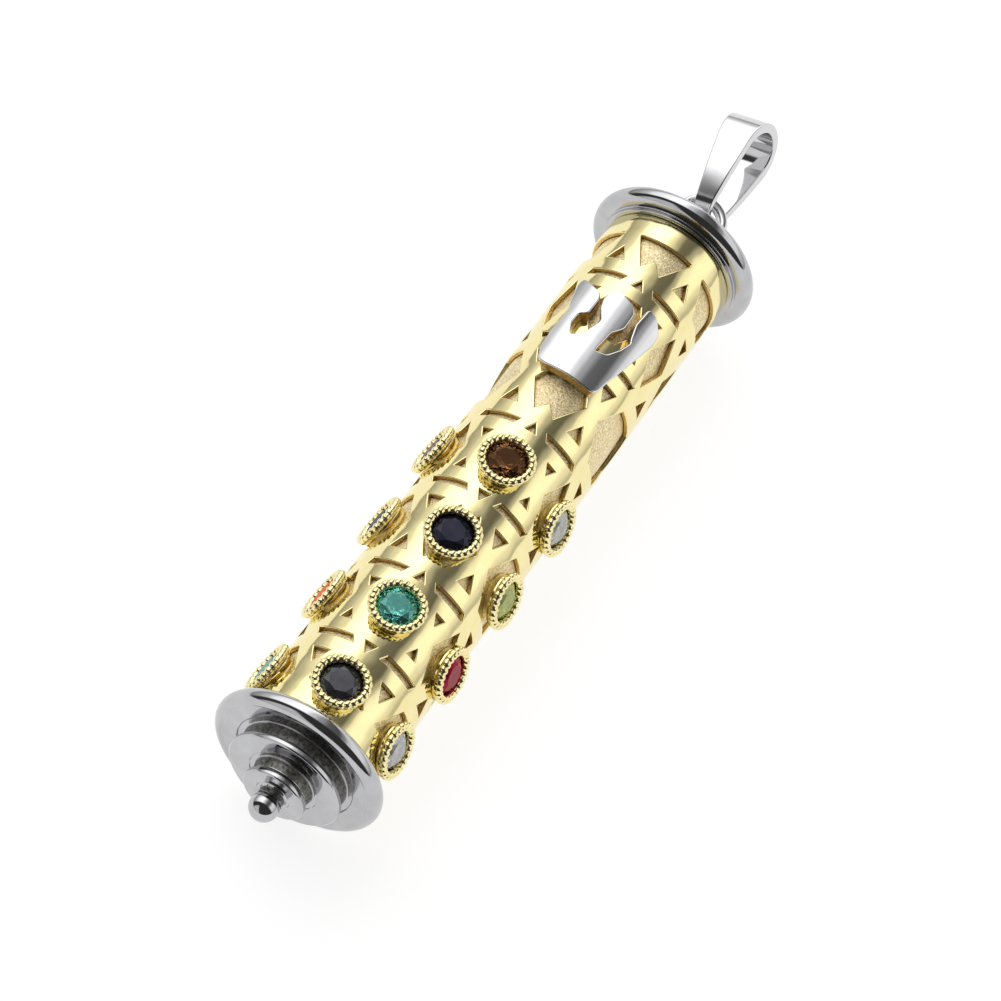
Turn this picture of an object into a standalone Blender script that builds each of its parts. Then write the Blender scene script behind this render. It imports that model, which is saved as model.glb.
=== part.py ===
"""Pendant case for a rolled parchment: a pierced tube set with twelve stones, with two flanged caps
and a swinging bail.

Metres, +Z up. The tube lies along X on the rims of its two flanges: the finial points to -X and
the bail to +X. The origin is at the centre of the bounding box, on the floor. Sizes below are in
millimetres, and a station is a distance along the tube from the lower flange's middle plane.
"""
import math

import bmesh
import bpy
from mathutils import Matrix, Vector
from mathutils.geometry import delaunay_2d_cdt

MM = 0.001
WELD = 1.0e-6
OBJECT_NAME = "mezuzah_case"

# Tube: a pierced sleeve over a liner.
SLEEVE_RADIUS = 4.0
SLEEVE_BORE = 3.76
LINER_RADIUS = 3.70
LINER_BORE = 2.97
TUBE_START = 0.93
TUBE_END = 39.58
TUBE_FACETS = 30
SOLDER_GAP = 0.03

# Flanges: a rounded rim on each cap.
FLANGE_SPACING = 40.39
RIM_CENTRE = 4.6
RIM_ROUND = 0.55
RIM_STEPS = 7
FLANGE_RADIUS = RIM_CENTRE + RIM_ROUND * math.cos(math.pi / 2.0 / RIM_STEPS)
FLANGE_FACETS = 40
COLLAR_RADIUS = 4.25
AXIS_HEIGHT = FLANGE_RADIUS * math.cos(math.pi / FLANGE_FACETS)

# Pierced pattern: two sizes of six-pointed star on alternate levels of alternate columns.
COLUMN_STEP = math.radians(72.0)
LEVEL_START = 2.61
LEVEL_STEP = 5.89
LEVELS = 7
PATTERN_START = 2.45
PATTERN_END = 38.1
SPINE_HALF_ANGLE = math.radians(8.0)
SMALL_STAR = (1.6, 2.34)
LARGE_STAR = (2.1, 2.98)
PATTERN_WIDTH = 0.954

# Stones and their bezels: three columns of four, numbered up from the lower flange.
# Heights are from the tube's axis.
ROWS = 4
ROW_START = 2.90
ROW_STEP = 5.705
STONE_COLUMNS = {"left": -COLUMN_STEP, "centre": 0.0, "right": COLUMN_STEP}
CENTRE_DROP = 0.2
SIDE_DROP = 0.35
GIRDLE_HEIGHT = 4.42
GIRDLE_HALF = 0.03
STONE_RADIUS = 1.25
TABLE_RADIUS = 0.68
TABLE_RISE = 0.4
PAVILION_DEPTH = 0.95
BEZEL_RADIUS = 1.6
BEZEL_TOP = 4.92
BEZEL_OPENING = 1.2
BEZEL_BORE = 0.86
STONE_SEAT = 1.29
CENTRE_STEM = 1.30
SIDE_STEM = 1.12
RECESS_RADIUS = 1.62
LINER_HOLE = 0.83
BEZEL_FACETS = 12
HOLE_SIDES = 20

# Emblem plate on the front of the tube.
EMBLEM_STATION = 30.1
EMBLEM_RADIUS = 4.6
EMBLEM_BACK = 4.04

# Cap joint, scroll, eyelet and bail.
SPIGOT_RADIUS = 2.93
SPIGOT_END = 3.6
SCROLL_RADIUS = 2.2
SCROLL_CORE = 0.75
SCROLL_START = 3.9
SCROLL_END = 37.7
RIM_LAND = 0.45
FINIAL_BALL = 0.85
FINIAL_STEM = 0.73
FINIAL_BALL_STATION = -3.43
LARGE_DISC = (3.4, -1.3, -1.5)
LARGE_NECK = (3.2, -1.15)
SMALL_DISC = (1.84, -2.32, -2.55)
SMALL_NECK = (1.72, -2.2)
BOSS_RADIUS = 1.7
BOSS_HEIGHT = 2.21
BOSS_EDGE = 0.1
LOWER_STEP = (3.9, 0.75)
UPPER_STEP = (2.7, 1.45)
EYELET_RING = 1.30
EYELET_WIRE = 0.28
EYELET_ROLL = math.radians(8.4)
PIVOT_STATION = 45.0
BAIL_ROLL = math.radians(-21.2)
BAIL_LIFT = math.radians(12.2)
BAIL_REACH = 3.85
BAIL_HEAD = (2.08, 1.50)
BAIL_FOOT = (1.35, 0.92)
BAIL_FOOT_WIDTH = 0.94
BAIL_HEAD_WIDTH = 2.5
BAIL_SPREAD = 0.95
BAIL_STEPS = 16

TIP_STATION = FINIAL_BALL_STATION - FINIAL_BALL
BAIL_END_STATION = PIVOT_STATION + BAIL_REACH * math.cos(BAIL_LIFT) + BAIL_HEAD[0]
CENTRE_STATION = (TIP_STATION + BAIL_END_STATION) / 2.0

YELLOW_GOLD = (0.86, 0.66, 0.28)
WHITE_GOLD = (0.78, 0.78, 0.79)
STONE_COLOURS = {
    "left": [(0.20, 0.55, 0.60), (0.75, 0.22, 0.03), (0.04, 0.05, 0.16), (0.42, 0.20, 0.34)],
    "centre": [(0.10, 0.10, 0.12), (0.10, 0.52, 0.46), (0.03, 0.03, 0.05), (0.10, 0.05, 0.03)],
    "right": [(0.85, 0.86, 0.86), (0.50, 0.02, 0.10), (0.55, 0.62, 0.20), (0.76, 0.77, 0.52)],
}


def clear_scene():
    """Empty the file of its objects."""
    for item in list(bpy.data.objects):
        bpy.data.objects.remove(item, do_unlink=True)


def new_collection(name):
    """A collection linked to the scene."""
    collection = bpy.data.collections.new(name)
    bpy.context.scene.collection.children.link(collection)
    return collection


def new_material(name, colour, roughness, metallic):
    """A plain Principled material."""
    material = bpy.data.materials.new(name)
    material.use_nodes = True
    shader = material.node_tree.nodes["Principled BSDF"]
    shader.inputs["Base Color"].default_value = (*colour, 1.0)
    shader.inputs["Roughness"].default_value = roughness
    shader.inputs["Metallic"].default_value = metallic
    return material


def station_x(station):
    """World X, in metres, of a station along the tube."""
    return (station - CENTRE_STATION) * MM


def add_piece(name, mesh, material, collection, location=(0.0, 0.0, 0.0)):
    """One named object with its material."""
    piece = bpy.data.objects.new(name, mesh)
    piece.location = location
    collection.objects.link(piece)
    if not mesh.materials:
        mesh.materials.append(material)
    return piece


def evaluated_mesh(piece, name):
    """The mesh of an object with its modifiers applied, and the object removed."""
    graph = bpy.context.evaluated_depsgraph_get()
    mesh = bpy.data.meshes.new_from_object(piece.evaluated_get(graph))
    mesh.name = name
    bpy.data.objects.remove(piece, do_unlink=True)
    return mesh


def shade(mesh, angle=35.0):
    """Smooth shading with sharp creases."""
    mesh.shade_smooth()
    mesh.set_sharp_from_angle(angle=math.radians(angle))


def turned_blank(name, profile, facets, collection, closed=False):
    """An object turned about Z from (radius, height) points that run down its outer side."""
    mesh = bpy.data.meshes.new(name)
    bm = bmesh.new()
    points = [bm.verts.new((radius * MM, 0.0, height * MM)) for radius, height in profile]
    for upper, lower in zip(points, points[1:]):
        bm.edges.new((upper, lower))
    if closed:
        bm.edges.new((points[-1], points[0]))
    bm.to_mesh(mesh)
    bm.free()
    blank = bpy.data.objects.new(name, mesh)
    collection.objects.link(blank)
    screw = blank.modifiers.new("turn", "SCREW")
    screw.steps = facets
    screw.render_steps = facets
    screw.use_merge_vertices = True
    screw.merge_threshold = WELD
    return blank


def turned_mesh(name, profile, facets, collection, closed=False):
    """The mesh of a turned piece."""
    mesh = evaluated_mesh(turned_blank(name, profile, facets, collection, closed), name)
    shade(mesh)
    return mesh


def lay_along_tube(piece, station, facets):
    """Turn a piece's Z axis to +X, with one of its facets flat at the bottom."""
    turn = Matrix.Rotation(math.pi / 2.0, 4, "Y") @ Matrix.Rotation(math.pi / facets, 4, "Z")
    place = Matrix.Translation((station_x(station), 0.0, AXIS_HEIGHT * MM))
    piece.matrix_world = place @ turn


def arc(centre, radius, start, end, steps):
    """Points of an arc in a profile, with angles in degrees from the outward direction."""
    points = []
    for step in range(steps + 1):
        angle = math.radians(start + (end - start) * step / steps)
        points.append((centre[0] + radius * math.cos(angle), centre[1] + radius * math.sin(angle)))
    return points


# The pierced pattern is drawn on the unrolled tube: u runs round it at the sleeve's radius, and s is
# the station.

def moved(outline, u, s):
    """An outline about its own centre, moved to a place on the unrolled tube."""
    return [(u + PATTERN_WIDTH * du, s + ds) for du, ds in outline]


def star_hexagon(star):
    """The six-sided hole in the middle of a star."""
    reach = star[0] / math.cos(math.radians(30.0))
    return [(reach * math.cos(math.radians(60.0 * k)), reach * math.sin(math.radians(60.0 * k)))
            for k in range(6)]


def star_points(star):
    """The six three-sided holes in the points of a star."""
    inner, outer = star
    half_base = (2.0 * inner - outer) * math.tan(math.radians(30.0))
    holes = []
    for k in range(6):
        turn = math.radians(90.0 + 60.0 * k)
        along = Vector((math.cos(turn), math.sin(turn)))
        across = Vector((-along.y, along.x))
        tip = 2.0 * inner * along
        middle = outer * along
        corners = [tip, middle + half_base * across, middle - half_base * across]
        holes.append([(corner.x, corner.y) for corner in corners])
    return holes


def slot(side, end):
    """A slanted slot above (end 1) or below (end -1) a small star, on one side of it."""
    return [(side * 1.12, end * 2.37), (side * 3.74, end * 2.37),
            (side * 3.40, end * 2.95), (side * 0.78, end * 2.95)]


def fish_gap():
    """The six-cornered gap between two small stars of one column."""
    return [(1.885, 0.0), (0.65, 2.1), (0.0, 1.35), (-0.65, 2.1),
            (-1.885, 0.0), (-0.65, -2.1), (0.0, -1.35), (0.65, -2.1)]


def rhombus(side):
    """One of the two four-cornered gaps between two large stars of one column."""
    middle = side * 1.3
    return [(middle + 1.06, 0.0), (middle, 2.15), (middle - 1.06, 0.0), (middle, -2.15)]


def bezel_rows():
    """Stations of the four rows of stones."""
    return [ROW_START + ROW_STEP * row for row in range(ROWS)]


def pattern_holes():
    """Outlines of all the holes of the pattern on the unrolled tube."""
    set_columns = (-1, 0, 1)
    holes = []
    for column in range(-2, 3):
        u = column * COLUMN_STEP * SLEEVE_RADIUS
        for level in range(LEVELS):
            s = LEVEL_START + level * LEVEL_STEP
            star_column = column % 2 == 0
            star_level = level % 2 == 1
            has_stone = column in set_columns and level < ROWS
            if star_column and star_level:
                outlines = star_points(SMALL_STAR)
                outlines += [slot(side, end) for side in (-1, 1) for end in (-1, 1)]
                outlines += [] if has_stone else [star_hexagon(SMALL_STAR)]
            elif star_column:
                outlines = [fish_gap()]
            elif star_level:
                outlines = [rhombus(-1), rhombus(1)]
            else:
                outlines = star_points(LARGE_STAR) + [star_hexagon(LARGE_STAR)]
            holes += [moved(outline, u, s) for outline in outlines]
    limit = (math.pi - SPINE_HALF_ANGLE) * SLEEVE_RADIUS
    return [hole for hole in holes if max(abs(u) for u, s in hole) < limit
            and max(s for u, s in hole) > PATTERN_START and min(s for u, s in hole) < PATTERN_END]


def column_drop(angle):
    """How far a column's settings are let in: the side ones stand in recesses."""
    return SIDE_DROP if angle else CENTRE_DROP


def round_hole(angle, station, radius, roll_radius, bore):
    """Outline, on the tube unrolled at one radius, of a round hole that is clear down to the bore."""
    outline = []
    for k in range(HOLE_SIDES):
        turn = 2.0 * math.pi * (k + 0.5) / HOLE_SIDES
        du = roll_radius * math.asin(radius * math.cos(turn) / bore)
        outline.append((angle * roll_radius + du, station + radius * math.sin(turn)))
    return outline


def bezel_holes():
    """Outlines of the sleeve's holes for the bezels: round the stems, or wide as a recess."""
    holes = []
    for angle in STONE_COLUMNS.values():
        radius = RECESS_RADIUS if angle else CENTRE_STEM + 2.0 * SOLDER_GAP
        holes += [round_hole(angle, s, radius, SLEEVE_RADIUS, SLEEVE_BORE) for s in bezel_rows()]
    return holes


def liner_holes():
    """Outlines of the holes drilled in the liner for the stones' tips."""
    return [round_hole(angle, s, LINER_HOLE, LINER_RADIUS, LINER_RADIUS)
            for angle in STONE_COLUMNS.values() for s in bezel_rows()]


def inside(outline, u, s):
    """Whether a point of the unrolled tube lies inside an outline."""
    hit = False
    for (u0, s0), (u1, s1) in zip(outline, outline[1:] + outline[:1]):
        if (s0 > s) != (s1 > s) and u < u0 + (u1 - u0) * (s - s0) / (s1 - s0):
            hit = not hit
    return hit


def rolled_plate(name, loops, lines, is_metal, inner, outer, roll_radius):
    """A plate cut on the unrolled tube and rolled up between two radii.

    loops are closed outlines and lines are single edges that the triangles follow.
    """
    points = []
    edges = []
    for loop in loops:
        first = len(points)
        points += [Vector(point) for point in loop]
        edges += [(first + k, first + (k + 1) % len(loop)) for k in range(len(loop))]
    for start, end in lines:
        edges.append((len(points), len(points) + 1))
        points += [Vector(start), Vector(end)]
    flat, _, faces, _, _, _ = delaunay_2d_cdt(points, edges, [], 0, 1.0e-5)
    kept = []
    for face in faces:
        u = sum(flat[k].x for k in face) / 3.0
        s = sum(flat[k].y for k in face) / 3.0
        if is_metal(u, s):
            kept.append(face)
    bm = bmesh.new()
    used = {}

    def corner(index, radius):
        key = (index, radius)
        if key not in used:
            angle = flat[index].x / roll_radius
            used[key] = bm.verts.new((station_x(flat[index].y), -radius * math.sin(angle) * MM,
                                      (AXIS_HEIGHT + radius * math.cos(angle)) * MM))
        return used[key]

    sides = set()
    for face in kept:
        bm.faces.new([corner(k, outer) for k in reversed(face)])
        bm.faces.new([corner(k, inner) for k in face])
        sides.update(zip(face, face[1:] + face[:1]))
    seam = math.pi * roll_radius
    for a, b in sides:
        on_seam = abs(abs(flat[a].x) - seam) < 1.0e-4 and abs(abs(flat[b].x) - seam) < 1.0e-4
        if (b, a) not in sides and not on_seam:
            bm.faces.new([corner(a, outer), corner(b, outer), corner(b, inner), corner(a, inner)])
    bmesh.ops.remove_doubles(bm, verts=bm.verts[:], dist=WELD / 4.0)
    bmesh.ops.recalc_face_normals(bm, faces=bm.faces[:])
    mesh = bpy.data.meshes.new(name)
    bm.to_mesh(mesh)
    bm.free()
    shade(mesh)
    return mesh


def facet_lines(first, last, low, high, roll_radius):
    """Lines along the tube at the corners of its facets."""
    step = 2.0 * math.pi / TUBE_FACETS
    lines = []
    for k in range(first, last + 1):
        u = (k + 0.5) * step * roll_radius
        lines.append(((u, low), (u, high)))
    return lines


def make_sleeve(gold, parts):
    """The pierced outer tube."""
    pattern = pattern_holes()
    stems = bezel_holes()
    half_turn = math.pi * SLEEVE_RADIUS

    def is_metal(u, s):
        in_pattern = PATTERN_START < s < PATTERN_END and any(inside(hole, u, s) for hole in pattern)
        in_tube = TUBE_START < s < TUBE_END
        return in_tube and not in_pattern and not any(inside(hole, u, s) for hole in stems)

    border = [(-half_turn, TUBE_START), (half_turn, TUBE_START),
              (half_turn, TUBE_END), (-half_turn, TUBE_END)]
    half_facets = TUBE_FACETS // 2
    lines = facet_lines(-half_facets, half_facets - 1, TUBE_START, TUBE_END, SLEEVE_RADIUS)
    lines += [((-half_turn, s), (half_turn, s)) for s in (PATTERN_START, PATTERN_END)]
    mesh = rolled_plate("lattice_sleeve", [border] + pattern + stems, lines, is_metal,
                        SLEEVE_BORE, SLEEVE_RADIUS, SLEEVE_RADIUS)
    add_piece("lattice_sleeve", mesh, gold, parts)


def make_liner(gold, parts):
    """The tube inside the sleeve, drilled under each stone."""
    holes = liner_holes()
    half_turn = math.pi * LINER_RADIUS

    def is_metal(u, s):
        return TUBE_START < s < TUBE_END and not any(inside(hole, u, s) for hole in holes)

    border = [(-half_turn, TUBE_START), (half_turn, TUBE_START),
              (half_turn, TUBE_END), (-half_turn, TUBE_END)]
    half_facets = TUBE_FACETS // 2
    lines = facet_lines(-half_facets, half_facets - 1, TUBE_START, TUBE_END, LINER_RADIUS)
    mesh = rolled_plate("liner_tube", [border] + holes, lines, is_metal,
                        LINER_BORE, LINER_RADIUS, LINER_RADIUS)
    add_piece("liner_tube", mesh, gold, parts)


def bezel_profile(angle):
    """Section of a bezel, with heights from the tube's axis: bowl, stem, bore, girdle seat and lip."""
    stem_end = 3.0
    top = BEZEL_TOP - column_drop(angle)
    girdle = GIRDLE_HEIGHT - column_drop(angle)
    outer = [(BEZEL_RADIUS - 0.15, top), (BEZEL_RADIUS, top - 0.12), (BEZEL_RADIUS, top - 0.3),
             (BEZEL_RADIUS - 0.18, top - 0.6)]
    if angle:
        outer += [(BEZEL_RADIUS - 0.33, top - 0.75), (SIDE_STEM, top - 0.86), (SIDE_STEM, stem_end)]
    else:
        outer += [(CENTRE_STEM, top - 0.67), (CENTRE_STEM, stem_end)]
    inner = [(BEZEL_BORE, stem_end), (BEZEL_BORE, girdle - 0.42), (STONE_SEAT, girdle - 0.06),
             (STONE_SEAT, girdle + 0.05), (BEZEL_OPENING, girdle + 0.09), (BEZEL_OPENING, top - 0.06)]
    return outer + inner


def make_liner_cutter(cutters):
    """A cylinder, a little wider than the liner, that cuts the bezels' stems to stand on it."""
    radius = (LINER_RADIUS + SOLDER_GAP) * MM
    bpy.ops.mesh.primitive_cylinder_add(vertices=72, radius=radius, depth=6.0 * MM,
                                        rotation=(0.0, math.pi / 2.0, 0.0))
    cutter = bpy.context.active_object
    cutter.name = "liner_cutter"
    for owner in list(cutter.users_collection):
        owner.objects.unlink(cutter)
    cutters.objects.link(cutter)
    cutter.hide_render = True
    cutter.display_type = "WIRE"
    return cutter


def make_bezel_mesh(angle, cutter, parts):
    """One bezel, its stem cut to stand on the liner."""
    blank = turned_blank("bezel", bezel_profile(angle), BEZEL_FACETS, parts, closed=True)
    cut = blank.modifiers.new("foot", "BOOLEAN")
    cut.operation = "DIFFERENCE"
    cut.solver = "EXACT"
    cut.object = cutter
    mesh = evaluated_mesh(blank, "bezel")
    shade(mesh)
    return mesh


def stone_profile(drop):
    """Section of a brilliant: table, crown, girdle and pavilion, with heights from the tube's axis."""
    girdle = GIRDLE_HEIGHT - drop
    return [(0.0, girdle + TABLE_RISE), (TABLE_RADIUS, girdle + TABLE_RISE),
            (STONE_RADIUS, girdle + GIRDLE_HALF), (STONE_RADIUS, girdle - GIRDLE_HALF),
            (0.0, girdle - PAVILION_DEPTH)]


def make_settings(gold, cutters, parts):
    """Twelve bezels and twelve stones."""
    cutter = make_liner_cutter(cutters)
    for column, angle in STONE_COLUMNS.items():
        bezel_mesh = make_bezel_mesh(angle, cutter, parts)
        for row, station in enumerate(bezel_rows()):
            place = (station_x(station), 0.0, AXIS_HEIGHT * MM)
            bezel = add_piece(f"bezel_{column}_{row + 1}", bezel_mesh, gold, parts, place)
            bezel.rotation_euler = (angle, 0.0, 0.0)
            name = f"stone_{column}_{row + 1}"
            colour = STONE_COLOURS[column][row]
            mesh = turned_mesh(name, stone_profile(column_drop(angle)), BEZEL_FACETS, parts)
            stone = add_piece(name, mesh, new_material(name, colour, 0.05, 0.0), parts, place)
            stone.rotation_euler = (angle, 0.0, 0.0)


def emblem_outline():
    """Outline of the three-pronged plate: millimetres round the tube and along it from its middle."""
    return [(-1.60, -3.2), (1.68, -3.3), (1.85, -2.2), (2.15, -0.9), (2.72, 1.7), (2.70, 2.5),
            (1.95, 3.25), (1.46, 3.3), (1.36, 2.0), (1.60, 1.1), (1.75, 0.8), (1.50, 0.0),
            (1.00, -0.9), (0.32, -1.1), (0.20, -0.9), (0.36, 0.6), (0.82, 1.3), (0.80, 2.4),
            (0.45, 2.85), (-0.80, 3.2), (-1.02, 2.3), (-0.85, 1.7), (-0.35, 0.9), (-0.80, -0.5),
            (-1.50, -0.95), (-1.92, 0.0), (-1.88, 0.8), (-1.40, 1.0), (-1.37, 2.1), (-1.55, 2.55),
            (-2.90, 3.2), (-3.02, 2.8), (-2.65, 1.3), (-2.45, 0.9), (-2.55, -1.0), (-2.45, -2.2),
            (-2.15, -3.05)]


def make_emblem(metal, parts):
    """The raised three-pronged emblem, bent to the tube."""
    outline = [(u, EMBLEM_STATION + s) for u, s in emblem_outline()]
    lines = facet_lines(-4, 3, EMBLEM_STATION - 4.0, EMBLEM_STATION + 4.0, EMBLEM_RADIUS)
    mesh = rolled_plate("three_prong_emblem", [outline], lines, lambda u, s: inside(outline, u, s),
                        EMBLEM_BACK, EMBLEM_RADIUS, EMBLEM_RADIUS)
    add_piece("three_prong_emblem", mesh, metal, parts)


def rim_profile(side):
    """The rounded rim of a flange, from its inner face (side 1: facing up) round to the other."""
    return arc((RIM_CENTRE, 0.0), RIM_ROUND, side * 90.0, -side * 90.0, RIM_STEPS)


def make_top_cap(metal, parts):
    """The upper flange, stepped up to a small boss, with the plug that locates it in the liner."""
    seat = TUBE_END + SOLDER_GAP - FLANGE_SPACING
    plug_end = PATTERN_END - FLANGE_SPACING
    profile = [(0.0, BOSS_HEIGHT)]
    for radius, height, floor in ((BOSS_RADIUS, BOSS_HEIGHT, UPPER_STEP[1]), (*UPPER_STEP, LOWER_STEP[1]),
                                  (*LOWER_STEP, RIM_LAND)):
        profile += [(radius - BOSS_EDGE, height), (radius, height - BOSS_EDGE), (radius, floor)]
    profile.append((RIM_CENTRE - 0.15, RIM_LAND))
    profile += rim_profile(1)
    profile += [(COLLAR_RADIUS, -0.5), (COLLAR_RADIUS, seat), (SPIGOT_RADIUS, seat),
                (SPIGOT_RADIUS, plug_end), (0.0, plug_end)]
    mesh = turned_mesh("top_cap", profile, FLANGE_FACETS, parts)
    piece = add_piece("top_cap", mesh, metal, parts)
    lay_along_tube(piece, FLANGE_SPACING, FLANGE_FACETS)


def finial_profile():
    """The stepped finial below the lower flange, ending in a ball."""
    edge = 0.07
    steps = [(LARGE_NECK[0], -0.3), LARGE_NECK, LARGE_DISC[:2], (LARGE_DISC[0], LARGE_DISC[2]),
             (LARGE_DISC[0] - edge, LARGE_DISC[2] - edge), (2.1, LARGE_DISC[2] - edge), (1.75, -1.4),
             SMALL_NECK, SMALL_DISC[:2], (SMALL_DISC[0], SMALL_DISC[2]),
             (SMALL_DISC[0] - edge, SMALL_DISC[2] - edge), (1.0, SMALL_DISC[2] - edge), (FINIAL_STEM, -2.5)]
    ball = arc((0.0, FINIAL_BALL_STATION), FINIAL_BALL, 31.0, -90.0, 6)
    return steps + ball[:-1] + [(0.0, TIP_STATION)]


def make_bottom_cap(metal, parts):
    """The lower flange, its push-fit spigot and its finial. Its origin lies on its slide."""
    seat = TUBE_START - SOLDER_GAP
    profile = [(0.0, SPIGOT_END), (SPIGOT_RADIUS - 0.2, SPIGOT_END), (SPIGOT_RADIUS, SPIGOT_END - 0.2),
               (SPIGOT_RADIUS, seat), (COLLAR_RADIUS, seat), (COLLAR_RADIUS, 0.5)]
    profile += rim_profile(1) + [(RIM_CENTRE - 0.15, -RIM_LAND), (3.6, -RIM_LAND)] + finial_profile()
    mesh = turned_mesh("bottom_cap", profile, FLANGE_FACETS, parts)
    piece = add_piece("bottom_cap", mesh, metal, parts)
    lay_along_tube(piece, 0.0, FLANGE_FACETS)


def make_scroll(paper, parts):
    """The rolled parchment inside the liner."""
    length = SCROLL_END - SCROLL_START
    profile = [(SCROLL_RADIUS, length), (SCROLL_RADIUS, 0.0), (SCROLL_CORE, 0.0), (SCROLL_CORE, length)]
    mesh = turned_mesh("parchment_scroll", profile, 24, parts, closed=True)
    piece = add_piece("parchment_scroll", mesh, paper, parts)
    lay_along_tube(piece, SCROLL_START, 24)


def make_eyelet(metal, parts):
    """The arched wire on the top cap's boss that the bail hangs in. Its origin is on the boss."""
    curve = bpy.data.curves.new("eyelet", "CURVE")
    curve.dimensions = "3D"
    curve.bevel_depth = EYELET_WIRE * MM
    curve.bevel_resolution = 2
    curve.use_fill_caps = True
    boss_station = FLANGE_SPACING + BOSS_HEIGHT
    arch_base = PIVOT_STATION - EYELET_RING - boss_station
    path = [(SOLDER_GAP, -EYELET_RING)]
    steps = 12
    for k in range(steps + 1):
        angle = math.pi * k / steps
        path.append((arch_base + EYELET_RING * math.sin(angle), -EYELET_RING * math.cos(angle)))
    path.append((SOLDER_GAP, EYELET_RING))
    spline = curve.splines.new("POLY")
    spline.points.add(len(path) - 1)
    for point, (height, across) in zip(spline.points, path):
        point.co = (height * MM, across * MM, 0.0, 1.0)
    curve.materials.append(metal)
    piece = bpy.data.objects.new("eyelet", curve)
    piece.location = (station_x(boss_station), 0.0, AXIS_HEIGHT * MM)
    piece.rotation_euler = (EYELET_ROLL, 0.0, 0.0)
    parts.objects.link(piece)


def teardrop(head_radius, foot_radius):
    """Side view of the bail: an arc round its head, then an arc round the pivot."""
    lean = math.degrees(math.asin((head_radius - foot_radius) / BAIL_REACH))
    head = arc((BAIL_REACH, 0.0), head_radius, 90.0 + lean, -90.0 - lean, BAIL_STEPS)
    foot = arc((0.0, 0.0), foot_radius, -90.0 - lean, -270.0 + lean, BAIL_STEPS)
    return head + foot


def make_bail(metal, parts):
    """The tapered ribbon loop that swings in the eyelet. Its origin is on its hinge axis."""
    bm = bmesh.new()
    rings = []
    length = BAIL_REACH + BAIL_HEAD[0] + BAIL_FOOT[0]
    for outer, inner in zip(teardrop(BAIL_HEAD[0], BAIL_FOOT[0]), teardrop(BAIL_HEAD[1], BAIL_FOOT[1])):
        ring = []
        for point, side in ((inner, -1), (outer, -1), (outer, 1), (inner, 1)):
            share = (point[0] + BAIL_FOOT[0]) / length
            spread = max(share, 0.0) ** BAIL_SPREAD
            half_width = (BAIL_FOOT_WIDTH + (BAIL_HEAD_WIDTH - BAIL_FOOT_WIDTH) * spread) / 2.0
            ring.append(bm.verts.new((point[0] * MM, side * half_width * MM, point[1] * MM)))
        rings.append(ring)
    for ring, after in zip(rings, rings[1:] + rings[:1]):
        for k in range(4):
            bm.faces.new([ring[k], ring[(k + 1) % 4], after[(k + 1) % 4], after[k]])
    bmesh.ops.recalc_face_normals(bm, faces=bm.faces[:])
    mesh = bpy.data.meshes.new("bail")
    bm.to_mesh(mesh)
    bm.free()
    shade(mesh)
    piece = add_piece("bail", mesh, metal, parts)
    place = Matrix.Translation((station_x(PIVOT_STATION), 0.0, AXIS_HEIGHT * MM))
    turn = Matrix.Rotation(BAIL_ROLL, 4, "X") @ Matrix.Rotation(-BAIL_LIFT, 4, "Y")
    piece.matrix_world = place @ turn


def main():
    """Build every piece."""
    clear_scene()
    parts = new_collection(OBJECT_NAME)
    cutters = new_collection("cutters")
    gold = new_material("yellow_gold", YELLOW_GOLD, 0.18, 1.0)
    white = new_material("white_gold", WHITE_GOLD, 0.12, 1.0)
    paper = new_material("parchment", (0.80, 0.70, 0.50), 0.8, 0.0)
    make_sleeve(gold, parts)
    make_liner(gold, parts)
    make_settings(gold, cutters, parts)
    make_emblem(white, parts)
    make_top_cap(white, parts)
    make_eyelet(white, parts)
    make_bail(white, parts)
    make_bottom_cap(white, parts)
    make_scroll(paper, parts)


main()
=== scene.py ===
"""Looks of a pendant case for a rolled parchment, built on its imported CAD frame.

Lengths are in millimetres until a mesh is made. A station is a distance along the tube from the
lower flange's middle plane, and an angle round the tube is 0 at the top and grows towards -Y.
"""

import math

import bpy
from mathutils import Matrix, Vector
from mathutils.geometry import delaunay_2d_cdt


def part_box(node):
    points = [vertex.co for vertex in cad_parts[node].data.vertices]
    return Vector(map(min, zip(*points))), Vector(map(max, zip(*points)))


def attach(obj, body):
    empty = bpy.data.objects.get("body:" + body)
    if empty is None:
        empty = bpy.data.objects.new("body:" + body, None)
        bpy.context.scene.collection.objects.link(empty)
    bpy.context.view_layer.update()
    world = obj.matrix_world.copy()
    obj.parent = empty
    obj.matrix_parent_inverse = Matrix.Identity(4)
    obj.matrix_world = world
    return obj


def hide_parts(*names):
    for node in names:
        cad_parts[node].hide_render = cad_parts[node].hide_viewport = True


MM = 0.001
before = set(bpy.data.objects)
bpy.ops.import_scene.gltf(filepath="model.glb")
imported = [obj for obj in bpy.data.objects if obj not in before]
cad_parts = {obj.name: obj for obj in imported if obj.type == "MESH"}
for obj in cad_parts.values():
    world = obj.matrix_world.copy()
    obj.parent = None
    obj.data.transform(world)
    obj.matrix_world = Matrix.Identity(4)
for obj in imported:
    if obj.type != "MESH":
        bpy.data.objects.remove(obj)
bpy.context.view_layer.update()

# Where the frame puts the tube.
TUBE_START = 0.93
TUBE_END = 39.58
FLANGE_SPACING = 40.39
sleeve_low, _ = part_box("lattice_sleeve")
cap_low, cap_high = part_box("bottom_cap")
BASE_X = sleeve_low.x / MM - TUBE_START
AXIS_Z = (cap_low.z + cap_high.z) / 2.0 / MM

# The sleeve and the liner behind it. A lip is the rounding of a plate's upper edges.
SLEEVE_RADIUS = 4.0
SLEEVE_BORE = 3.75
SLEEVE_LIP = 0.08
LINER_RADIUS = 3.70
LINER_BORE = 2.97
LINER_LIP = 0.01
TUBE_LINES = 96

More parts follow.
